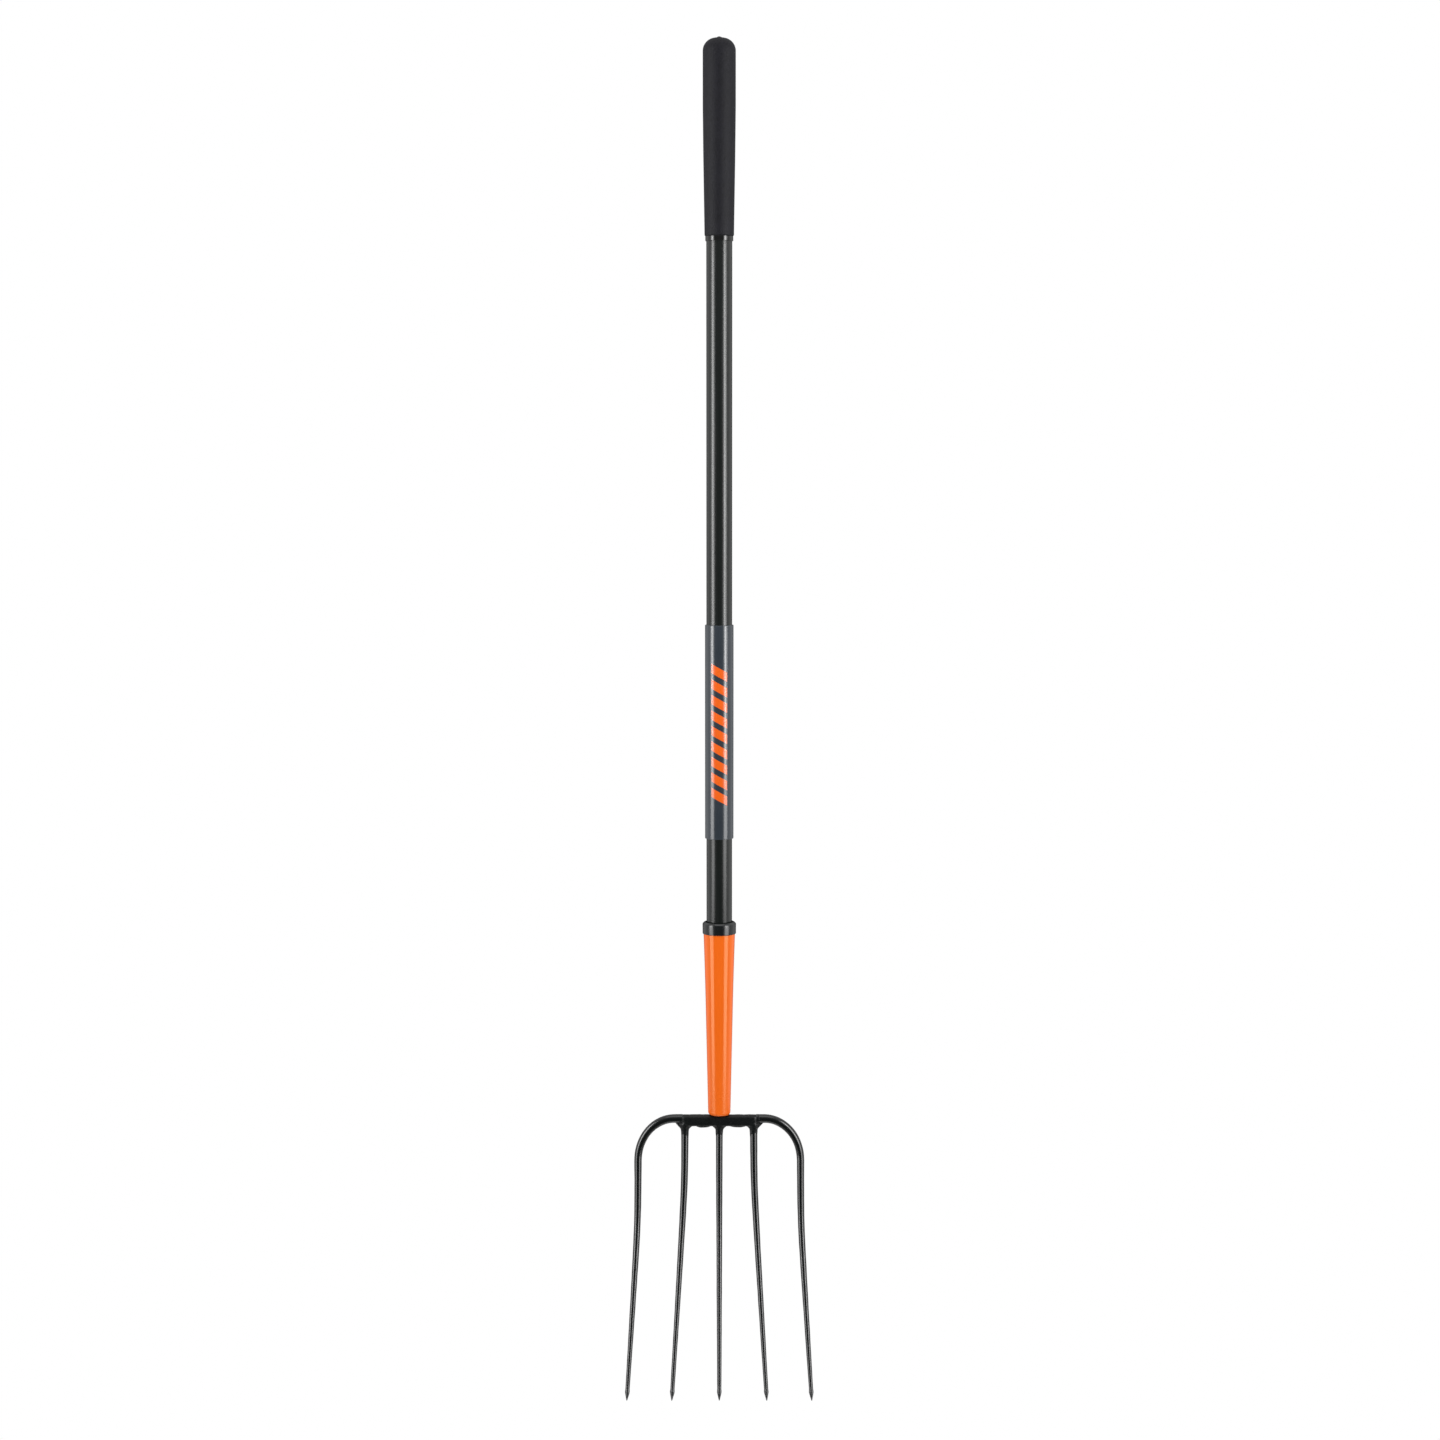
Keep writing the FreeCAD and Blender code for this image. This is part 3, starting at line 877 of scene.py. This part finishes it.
@dataclass
class ForkHead:
    """Shoulder with its lugs, and the five tines."""

    line: TineLine = field(default_factory=TineLine)
    root_depth: float = 9.0 * MM
    spear_length: float = 12.5 * MM
    side_radius: float = 4.05 * MM
    centre_radius: float = 3.75 * MM
    end_radius: float = 2.25 * MM
    taper_power: float = 1.15
    inner_splay: float = 70 * MM
    outer_splay: float = 115 * MM
    arm_radius: float = 4.75 * MM
    arm_straight: float = 6 * MM
    arm_reach: float = 40.9 * MM
    arm_drop: float = 47.25 * MM
    arm_overlap: float = 3 * MM
    arm_step: float = 1.5 * MM
    arm_rings: int = 6
    stub_radius: float = 6.1 * MM
    stub_length: float = 16 * MM
    stub_drop: float = 1.4 * MM
    bead_height: float = 0.3 * MM
    bar_under: float = -6.0 * MM
    bar_end: float = 2.5 * MM
    bar_skin: float = 0.4 * MM
    bar_rounding: float = 3.0 * MM
    web_top: float = 2.8 * MM
    web_foot: float = 2.7 * MM
    voxel: float = 0.5 * MM
    smoothing: int = 14
    shank_steps: int = 90
    bend_steps: int = 28

    @property
    def shank_depth(self) -> float:
        """Depth where the shank ends and the point begins."""
        return -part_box("tine_centre")[0].z - self.spear_length

    @property
    def inner_across(self) -> float:
        """Distance of an inner tine's root from the middle."""
        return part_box("tine_inner_right")[0].x + self.side_radius

    @property
    def arm_height(self) -> float:
        """Height of the arms' centre line."""
        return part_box("tine_outer_right")[1].z - self.arm_radius

    def build(self) -> None:
        """Make all six pieces of the head."""
        self._shoulder(ScalePaint().build())
        paint = ForgePaint().build()
        for node, side in (("tine_inner_left", Side.LEFT), ("tine_centre", Side.MIDDLE),
                           ("tine_inner_right", Side.RIGHT)):
            adopt(self._hanging_tine(node, side, paint), node)
        for node, side in (("tine_outer_left", Side.LEFT), ("tine_outer_right", Side.RIGHT)):
            adopt(self._bent_tine(node, side, paint), node)

    def _shank(self, side: Side, across: float, splay: float, start: float,
               root: float) -> list[Station]:
        """Stations of a tapered shank and its spear point.

        Args:
            side: Side of the head.
            across: Distance from the axis at the top.
            splay: Depth where the tine starts to splay.
            start: Depth of the first station.
            root: Radius at the top.

        Returns:
            The stations, from the top down.
        """
        stations = []
        for step in range(self.shank_steps + 1):
            fraction = step / self.shank_steps
            depth = start + (self.shank_depth - start) * fraction
            radius = root - (root - self.end_radius) * fraction ** self.taper_power
            stations.append(self._station(side, across, splay, depth, radius))
        for fraction, radius in SPEAR:
            depth = self.shank_depth + self.spear_length * fraction
            stations.append(self._station(side, across, splay, depth, radius * MM))
        return stations

    def _station(self, side: Side, across: float, splay: float, depth: float,
                 radius: float) -> Station:
        """One station, with its heading taken from the centre line just below it.

        Args:
            side: Side of the head.
            across: Distance from the axis at the top.
            splay: Depth where the tine starts to splay.
            depth: Depth of the station.
            radius: Radius there.

        Returns:
            The station.
        """
        nudge = 0.5 * MM
        centre = self.line.point(side, across, splay, depth)
        ahead = self.line.point(side, across, splay, depth + nudge)
        return Station(centre, (ahead - centre).normalized(), radius)

    def _hanging_tine(self, node: str, side: Side, paint: bpy.types.Material) -> bpy.types.Object:
        """Make an inner or centre tine, which hangs from its lug.

        Args:
            node: The frame node that it stands for.
            side: Side of the head.
            paint: Its finish.

        Returns:
            The new piece.
        """
        across = self.inner_across if side is not Side.MIDDLE else 0.0
        root = self.side_radius if side is not Side.MIDDLE else self.centre_radius
        stations = self._shank(side, across, self.inner_splay, self.root_depth, root)
        return Rod(node + "_forging", stations, seed=5.0 + 3.1 * side.value).build(paint)

    def _bent_tine(self, node: str, side: Side, paint: bpy.types.Material) -> bpy.types.Object:
        """Make an outer tine, which leaves the weld sideways and bends down.

        Args:
            node: The frame node that it stands for.
            side: Side of the head.
            paint: Its finish.

        Returns:
            The new piece.
        """
        weld = abs(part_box("head_shoulder")[1].x)
        sideways = Vector((side.value, 0.0, 0.0))
        start = Vector((side.value * (weld - self.arm_overlap), 0.0, self.arm_height))
        stations = [Station(start + sideways * (step * self.arm_step), sideways, self.arm_radius)
                    for step in range(self.arm_rings)]
        centre_x = weld + self.arm_straight
        for step in range(self.bend_steps):
            angle = math.radians(90 * step / self.bend_steps)
            out = centre_x + self.arm_reach * math.sin(angle)
            down = self.arm_drop * (1 - math.cos(angle))
            centre = Vector((side.value * out, 0.0, self.arm_height - down))
            heading = Vector((side.value * self.arm_reach * math.cos(angle), 0.0,
                              -self.arm_drop * math.sin(angle))).normalized()
            radius = self.arm_radius - (self.arm_radius - self.side_radius) * step / self.bend_steps
            stations.append(Station(centre, heading, radius))
        across = centre_x + self.arm_reach
        stations += self._shank(side, across, self.outer_splay, self.arm_drop - self.arm_height,
                                self.side_radius)
        return Rod(node + "_forging", stations, seed=20.0 + 3.7 * side.value).build(paint)

    def _shoulder(self, paint: bpy.types.Material) -> None:
        """Make the crossbar's middle, melted together from a bar, lugs, lumps and arm stubs.

        Args:
            paint: Its finish.
        """
        low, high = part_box("head_shoulder")
        half_width = high.x
        under = self.bar_under
        size = (2 * half_width - 2 * self.bar_end, high.y - low.y - self.bar_skin, high.z - under)
        work = bmesh.new()
        bar = bmesh.ops.create_cube(work, size=1.0)["verts"]
        bmesh.ops.scale(work, vec=size, verts=bar)
        bmesh.ops.translate(work, vec=(0, 0, (high.z + under) / 2), verts=bar)
        bmesh.ops.bevel(work, geom=work.edges[:], offset=self.bar_rounding, affect="EDGES", segments=4,
                        profile=0.5, material=-1)
        for across, radius in ((-self.inner_across, self.side_radius), (0.0, self.centre_radius),
                               (self.inner_across, self.side_radius)):
            self._lug(work, across, radius)
        for side in (Side.LEFT, Side.RIGHT):
            self._arm_root(work, side, half_width)
        for across, half_size in LUMPS:
            self._lump(work, Vector((across * MM, 0, under)), Vector(half_size) * MM)
        piece = mesh_piece("shoulder_forging", work, paint)
        self._melt(piece)
        adopt(piece, "head_shoulder")

    def _lug(self, work: bmesh.types.BMesh, across: float, radius: float) -> None:
        """Add a lug that flares from a tine into the bar, with a web to each side.

        Args:
            work: The shoulder's mesh.
            across: The lug's place along the bar.
            radius: The tine's radius.
        """
        for top, foot, top_extra, foot_extra in LUG_CONES:
            self._cone(work, Vector((across, 0, top * MM)), Vector((across, 0, foot * MM)),
                       radius + top_extra * MM, radius + foot_extra * MM)
        for side in (-1, 1):
            reach, height = OUTER_WEB if side * across > 0 else INNER_WEB
            foot_reach, foot_height = WEB_FOOT
            self._cone(work, Vector((across + side * reach * MM, 0, height * MM)),
                       Vector((across + side * foot_reach * MM, 0, foot_height * MM)),
                       self.web_top, self.web_foot)

    def _arm_root(self, work: bmesh.types.BMesh, side: Side, half_width: float) -> None:
        """Add the stub that an arm is welded to, with its weld bead.

        Args:
            work: The shoulder's mesh.
            side: Side of the head.
            half_width: Distance of the weld from the middle.
        """
        start = Vector((side.value * (half_width - self.stub_length), 0, self.arm_height - self.stub_drop))
        end = Vector((side.value * (half_width + 1.2 * MM), 0, self.arm_height))
        self._cone(work, start, end, self.stub_radius, self.arm_radius)
        bead = Vector((side.value * half_width, 0, self.arm_height))
        lean = Vector((side.value * 1.1 * MM, 0, 0.35 * MM))
        bead_radius = self.arm_radius + self.bead_height
        self._cone(work, bead - lean, bead + lean, bead_radius, bead_radius)

    @staticmethod
    def _cone(work: bmesh.types.BMesh, start: Vector, end: Vector, start_radius: float,
              end_radius: float) -> None:
        """Add a capped cone between two points.

        Args:
            work: The mesh.
            start: Middle of one end.
            end: Middle of the other end.
            start_radius: Radius at the start.
            end_radius: Radius at the end.
        """
        way = end - start
        turn = Vector((0, 0, 1)).rotation_difference(way).to_matrix().to_4x4()
        pose = Matrix.Translation((start + end) / 2) @ turn
        bmesh.ops.create_cone(work, cap_ends=True, segments=48, radius1=start_radius,
                              radius2=end_radius, depth=way.length, matrix=pose)

    @staticmethod
    def _lump(work: bmesh.types.BMesh, centre: Vector, half_size: Vector) -> None:
        """Add an egg-shaped lump of forging flash."""
        pose = Matrix.Translation(centre) @ Matrix.Diagonal((*half_size, 1.0))
        bmesh.ops.create_icosphere(work, subdivisions=4, radius=1.0, matrix=pose)

    def _melt(self, piece: bpy.types.Object) -> None:
        """Fuse overlapping shells into one skin with soft inner corners, then hammer it.

        Args:
            piece: The object whose mesh is rebuilt.
        """
        remesh = piece.modifiers.new("fuse", "REMESH")
        remesh.mode = "VOXEL"
        remesh.voxel_size = self.voxel
        shown = piece.evaluated_get(bpy.context.evaluated_depsgraph_get())
        fused = bpy.data.meshes.new_from_object(shown)
        piece.modifiers.remove(remesh)
        work = bmesh.new()
        work.from_mesh(fused)
        bpy.data.meshes.remove(fused)
        for _ in range(self.smoothing):
            bmesh.ops.smooth_vert(work, verts=work.verts[:], factor=0.5, use_axis_x=True,
                                  use_axis_y=True, use_axis_z=True)
        bmesh.ops.recalc_face_normals(work, faces=work.faces[:])
        roughen(work, 6 * MM, 0.22 * MM, 31.0)
        roughen(work, 2.2 * MM, 0.08 * MM, 47.0)
        work.to_mesh(piece.data)
        work.free()
        piece.data.shade_smooth()


# ---- Ferrule, collar and retaining pin ----

@dataclass
class Socket:
    """Tapered ferrule, its collar and the pin at the back."""

    base_radius: float = 12.45 * MM
    wall: float = 1.5 * MM
    nose: float = 3.6 * MM
    flare: float = 0.6 * MM
    flare_length: float = 75 * MM
    flare_power: float = 1.5
    fit: float = 0.05 * MM
    skirt: float = 5.0 * MM
    recess_depth: float = 6 * MM
    collar_chamfer: float = 2.0 * MM
    pin_radius: float = 2.35 * MM
    pin_rise: float = 1.3 * MM
    tang_hole: float = 6.6 * MM
    tube_radius: float = 14.25 * MM

    def build(self) -> None:
        """Make the three pieces."""
        self._ferrule()
        self._collar()
        self._pin()

    def _ferrule(self) -> None:
        """Long steel taper with a rounded bottom."""
        low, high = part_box("ferrule")
        mouth = high.x
        slope = (mouth - self.base_radius) / (high.z - low.z)
        flared = []
        for part in (1.0, 0.8, 0.6, 0.4, 0.2, 0.0):
            down = self.flare_length * part
            radius = mouth - slope * down + self.flare * (1 - part) ** self.flare_power
            flared.append((radius, high.z - down))
        outline = [
            (self.tang_hole, low.z),
            (self.base_radius, low.z),
            *flared,
            (mouth - self.wall, high.z),
            (self.base_radius + 0.1 * MM - self.wall, low.z + self.nose),
            (self.base_radius - self.nose, low.z + self.wall),
            (self.tang_hole, low.z + self.wall),
        ]
        piece = Lathe("ferrule_shell", outline, {1: self.nose, 7: 0.4 * MM}, round_segments=8)
        adopt(piece.build(Enamel().build()), "ferrule")

    def _collar(self) -> None:
        """Moulded ring round the tube, with the bush below it and a gap at the top."""
        low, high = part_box("ferrule_collar")
        ferrule_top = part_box("ferrule")[1]
        skirt = ferrule_top.z - self.skirt
        rim = ferrule_top.x + self.flare + self.fit
        floor = high.z - self.recess_depth
        radius = high.x
        recess = self.tube_radius + 1.35 * MM
        bore = self.tube_radius + 0.03 * MM
        outline = [
            (bore, low.z),
            (bore + 0.4 * MM, low.z),
            (ferrule_top.x - self.wall - self.fit, ferrule_top.z + self.fit),
            (rim, ferrule_top.z + self.fit),
            (rim, skirt),
            (radius - 0.15 * MM, skirt),
            (radius, high.z - self.collar_chamfer),
            (radius - self.collar_chamfer, high.z),
            (recess, high.z),
            (recess, floor),
            (bore, floor),
        ]
        finish = MouldedPlastic("collar_plastic", (0.0030, 0.0038, 0.0042), (0.0075, 0.0090, 0.0096),
                                0.15, 0.008 * MM)
        rounding = {4: 0.3 * MM, 5: 0.5 * MM, 6: 0.7 * MM, 7: 0.7 * MM, 8: 0.3 * MM}
        piece = Lathe("collar_ring", outline, rounding, round_segments=4)
        adopt(piece.build(finish.build()), "ferrule_collar")

    def _pin(self) -> None:
        """Domed pin head on the ferrule's back, with its shank."""
        low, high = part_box("retaining_pin")
        middle = (low.z + high.z) / 2
        head = (high.x - low.x) / 2
        length = high.y - low.y
        rise = self.pin_rise
        outline = [
            (0.0, 0.0),
            (self.pin_radius, 0.0),
            (self.pin_radius, length - rise),
            (head, length - rise),
            (head * 0.97, length - rise * 0.45),
            (head * 0.72, length - rise * 0.12),
            (head * 0.38, length),
            (0.0, length),
        ]
        work = Lathe("pin", outline, {3: 0.15 * MM}, steps=64).spun()
        pose = Matrix.Translation((0, low.y, middle)) @ Matrix.Rotation(math.radians(-90), 4, "X")
        bmesh.ops.transform(work, matrix=pose, verts=work.verts[:])
        adopt(mesh_piece("retaining_pin_steel", work, PlainSteel().build()), "retaining_pin")


# ---- Handle ----

@dataclass
class Handle:
    """Tube, printed sleeve, grip ring and grip."""

    tube_wall: float = 3.5 * MM
    skin_gap: float = 0.03 * MM
    print_drop: float = 2 * MM
    nub_height: float = 1.5 * MM
    grip_mouth: float = 16.1 * MM
    grip_taper: float = 140 * MM
    taper_sag: float = 0.55 * MM
    sag_share: float = 0.62
    dome: float = 13.2 * MM

    def build(self) -> None:
        """Make the four visible pieces."""
        tube_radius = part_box("handle_tube")[1].x
        bore = tube_radius + self.skin_gap
        inside = tube_radius - self.tube_wall
        tube = self._sleeve_shape("pultruded_tube", "handle_tube", inside, 0.4 * MM, 2)
        adopt(tube.build(Pultrusion().build()), "handle_tube")
        sleeve = self._sleeve_shape("film_sleeve", "printed_sleeve", bore, 0.6 * MM, 4)
        adopt(sleeve.build(self._print().build()), "printed_sleeve")
        gloss = MouldedPlastic("ring_gloss", (0.006, 0.006, 0.006), (0.010, 0.010, 0.010), 0.05, 0.0)
        ring = self._sleeve_shape("gloss_ring", "grip_ring", bore, 0.45 * MM, 4)
        adopt(ring.build(gloss.build()), "grip_ring")
        self._grip(bore)

    def _print(self) -> PrintedFilm:
        """Film whose print sits just below the sleeve's middle."""
        low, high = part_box("printed_sleeve")
        return PrintedFilm(high.x, (low.z + high.z) / 2 - self.print_drop)

    @staticmethod
    def _sleeve_shape(name: str, node: str, bore: float, rounding: float, segments: int) -> Lathe:
        """Plain round sleeve as long and as wide as its frame node.

        Args:
            name: The piece's name.
            node: The frame node.
            bore: Radius inside.
            rounding: Width of the rounding on the outer rims.
            segments: Steps in the rounding.

        Returns:
            The sleeve, not yet built.
        """
        low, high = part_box(node)
        outline = [(bore, low.z), (high.x, low.z), (high.x, high.z), (bore, high.z)]
        return Lathe(name, outline, {1: rounding, 2: rounding}, round_segments=segments)

    def _grip(self, bore: float) -> None:
        """Make the foam grip: a tapered sleeve with a domed closed end and a moulding nub.

        Args:
            bore: Radius inside.
        """
        low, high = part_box("grip")
        radius = high.x
        shoulder = high.z - self.nub_height
        outline = [
            (bore, low.z),
            (self.grip_mouth, low.z),
            (radius - self.taper_sag, low.z + self.grip_taper * self.sag_share),
            (radius, low.z + self.grip_taper),
            (radius, shoulder - 0.6 * MM),
            (4.2 * MM, shoulder),
            (2.4 * MM, high.z - 0.7 * MM),
            (1.1 * MM, high.z),
            (0.0, high.z),
        ]
        rounding = {1: 1.2 * MM, 4: self.dome, 5: 1.4 * MM, 6: 0.8 * MM, 7: 0.6 * MM}
        grip = Lathe("grip_foam", outline, rounding, round_segments=12)
        adopt(grip.build(FoamSkin().build()), "grip")


# ---- Inner pieces ----

def dress_inner_nodes() -> None:
    """Give the hidden frame nodes their own finishes."""
    finishes = {
        "head_tang": PlainSteel("tang_steel", (0.10, 0.10, 0.10), (0.22, 0.22, 0.22)),
        "tang_bedding": MouldedPlastic("bedding_resin", (0.50, 0.42, 0.24), (0.62, 0.54, 0.34), 0.25),
        "handle_core": TurnedWood(),
        "tube_end_plug": MouldedPlastic("plug_plastic", (0.018, 0.018, 0.018), (0.03, 0.03, 0.03), 0.5),
    }
    for node, finish in finishes.items():
        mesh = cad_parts[node].data
        material = finish.build()
        for index in range(len(mesh.materials)):
            mesh.materials[index] = material
        LOG.info("%s: frame node dressed in %s", node, material.name)


# ---- Studio ----

def add_area_light(name: str, place: Vector, target: Vector, size: tuple[float, float],
                   watts: float) -> None:
    """Add a rectangular soft light.

    Args:
        name: The light's name.
        place: Where it stands.
        target: What it faces.
        size: Its width and height.
        watts: Its power.
    """
    lamp = bpy.data.lights.new(name, "AREA")
    lamp.shape = "RECTANGLE"
    lamp.size, lamp.size_y = size
    lamp.energy = watts
    holder = bpy.data.objects.new(name, lamp)
    holder.location = place
    holder.rotation_euler = (target - place).to_track_quat("-Z", "Y").to_euler()
    bpy.context.scene.collection.objects.link(holder)


@dataclass(frozen=True)
class Softbox:
    """Tall soft light beside the camera, at an azimuth in degrees from the viewing side."""

    name: str
    azimuth: float
    width: float
    low: float
    high: float
    radiance: float
    distance: float = 2.2

    def build(self) -> None:
        """Add the light, facing the handle's axis."""
        turn = math.radians(self.azimuth)
        height = self.high - self.low
        target = Vector((0, 0, (self.low + self.high) / 2))
        place = target + Vector((math.sin(turn), -math.cos(turn), 0.0)) * self.distance
        watts = self.radiance * math.pi * self.width * height
        add_area_light(self.name, place, target, (self.width, height), watts)


SOFTBOXES = (Softbox("left_broad", -59.0, 1.1, -0.85, 1.75, 5.2),
             Softbox("left_core", -60.0, 0.26, 0.0, 1.9, 11.0),
             Softbox("right_broad", 53.0, 1.15, -0.85, 1.75, 5.4),
             Softbox("right_core", 50.0, 0.30, 0.0, 1.9, 11.0))


@dataclass
class Studio:
    """Pale floor, soft lights and the camera."""

    aim_height: float = 452.5 * MM
    aim_side: float = 0.8 * MM
    tilt_degrees: float = 5.5
    distance: float = 3.26
    lens: float = 73.43
    sensor: float = 36.0
    floor_radius: float = 0.24
    floor_drop: float = 0.30
    floor_glow: float = 0.12
    surround: Levels = ((-0.75, 0.03), (0.0, 0.82), (0.5, 0.95), (0.90, 0.15))
    sky: Levels = ((0.10, 0.0), (0.42, 0.14))
    overhead_place: tuple[float, float, float] = (0.0, -1.2, 3.2)
    overhead_side: float = 2.4
    overhead_watts: float = 22.0

    def build(self) -> None:
        """Set the stage."""
        self._floor()
        self._world()
        for softbox in SOFTBOXES:
            softbox.build()
        self._overhead()
        self._camera()
        bpy.context.scene.view_settings.view_transform = "Standard"

    def _floor(self) -> None:
        """Pale round floor below the hanging fork, bright enough to melt into the white surround."""
        work = bmesh.new()
        bmesh.ops.create_circle(work, cap_ends=True, segments=96, radius=self.floor_radius)
        bmesh.ops.translate(work, vec=(0, 0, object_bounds()[0][2] - self.floor_drop), verts=work.verts[:])
        shader = Shader.of_material("pale_floor")
        speckle = shader.noise(0.4, 2.0)
        material = shader.finish(
            Base_Color=shader.blend(speckle, (0.84, 0.84, 0.84), (0.86, 0.86, 0.86)),
            Roughness=0.9,
            Specular_IOR_Level=0.1,
            Emission_Color=(1.0, 1.0, 1.0),
            Emission_Strength=self.floor_glow)
        mesh_piece("studio_floor", work, material)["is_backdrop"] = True

    def _world(self) -> None:
        """White surround: evenly white where it is seen; as a light, brightest at the sides."""
        world = bpy.data.worlds.new("studio_white")
        bpy.context.scene.world = world
        shader = Shader(world)
        _, y, z = shader.axes("Generated")
        light = self._levels(shader, y, self.surround) + self._levels(shader, z, self.sky)
        seen = shader.term(shader.node("LightPath"), "Is Camera Ray")
        background = shader.node("Background", {}, {
            "Color": (1.0, 1.0, 1.0, 1.0),
            "Strength": shader.math("MAXIMUM", light, seen)})
        shader.node("OutputWorld", {}, {"Surface": shader.term(background)})

    @staticmethod
    def _levels(shader: Shader, axis: Term, levels: Levels) -> Term:
        """Add a ramp of light along one axis of the direction.

        Args:
            shader: The world's writer.
            axis: Part of the direction along the axis, from -1 to 1.
            levels: Where along the axis each level holds.

        Returns:
            The level.
        """
        spread = shader.node("MapRange", {}, {"Value": axis, "From Min": -1.0})
        stops = [((place + 1) / 2, level) for place, level in levels]
        return shader.term(shader.node("ValToRGB", {"stops": stops}, {"Fac": shader.term(spread)}))

    def _overhead(self) -> None:
        """Broad soft light from above and in front."""
        target = Vector((0, 0, self.aim_height * 0.5))
        side = self.overhead_side
        add_area_light("overhead_softbox", Vector(self.overhead_place), target, (side, side),
                       self.overhead_watts)

    def _camera(self) -> None:
        """Camera straight in front, tilted slightly down."""
        camera = bpy.data.cameras.new("view_camera")
        camera.lens = self.lens
        camera.sensor_width = self.sensor
        camera.clip_end = 200.0
        holder = bpy.data.objects.new("view_camera", camera)
        tilt = math.radians(self.tilt_degrees)
        aim = Vector((self.aim_side, 0, self.aim_height))
        holder.location = aim + Vector((0, -math.cos(tilt), math.sin(tilt))) * self.distance
        holder.rotation_euler = (aim - holder.location).to_track_quat("-Z", "Y").to_euler()
        bpy.context.scene.collection.objects.link(holder)
        bpy.context.scene.camera = holder


def main() -> None:
    """Build, dress and light the fork."""
    logging.basicConfig(level=logging.INFO, format="%(message)s")
    ForkHead().build()
    Socket().build()
    Handle().build()
    dress_inner_nodes()
    Studio().build()


if __name__ == "__main__":
    main()
